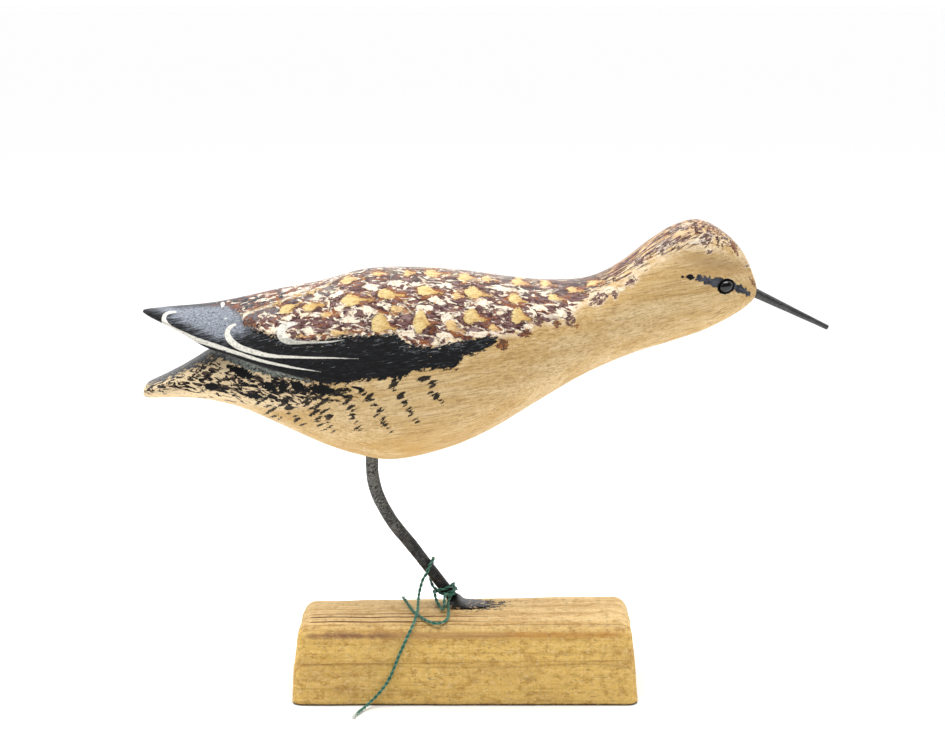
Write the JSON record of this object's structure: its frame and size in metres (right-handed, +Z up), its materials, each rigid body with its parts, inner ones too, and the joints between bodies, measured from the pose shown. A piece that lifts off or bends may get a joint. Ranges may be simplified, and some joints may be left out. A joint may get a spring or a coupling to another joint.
{
  "type": "shorebird decoy",
  "caption": "Carved wooden shorebird with folded wings and a slim down-turned bill, standing on one bent rod leg set in a split wood block.",
  "frame": {"origin": "on the table, under the middle of the bird's length and width", "axes": "+X towards the bill, +Z up, +Y to the bird's left side, away from the picture's viewer"},
  "size_m": [0.2801, 0.0813, 0.195],
  "materials": {
    "painted_wood": "oil-painted softwood, matt to satin, dry-brushed and worn",
    "bill_paint": "dark grey paint, satin, hand brushed",
    "eye_glass": "polished black glass",
    "leg_paint": "dark grey paint, satin, hand brushed",
    "pine_block": "split and sanded pine, honey yellow, dull varnish",
    "green_string": "two-ply twisted cotton string"
  },
  "bodies": {
    "root": {"carved_bird": "painted_wood", "bill": "bill_paint", "right_eye": "eye_glass", "left_eye": "eye_glass", "leg": "leg_paint", "base": "pine_block", "string_knot": "green_string", "string_loop": "green_string", "string_short_end": "green_string", "string_long_end": "green_string"}
  },
  "joints": []
}
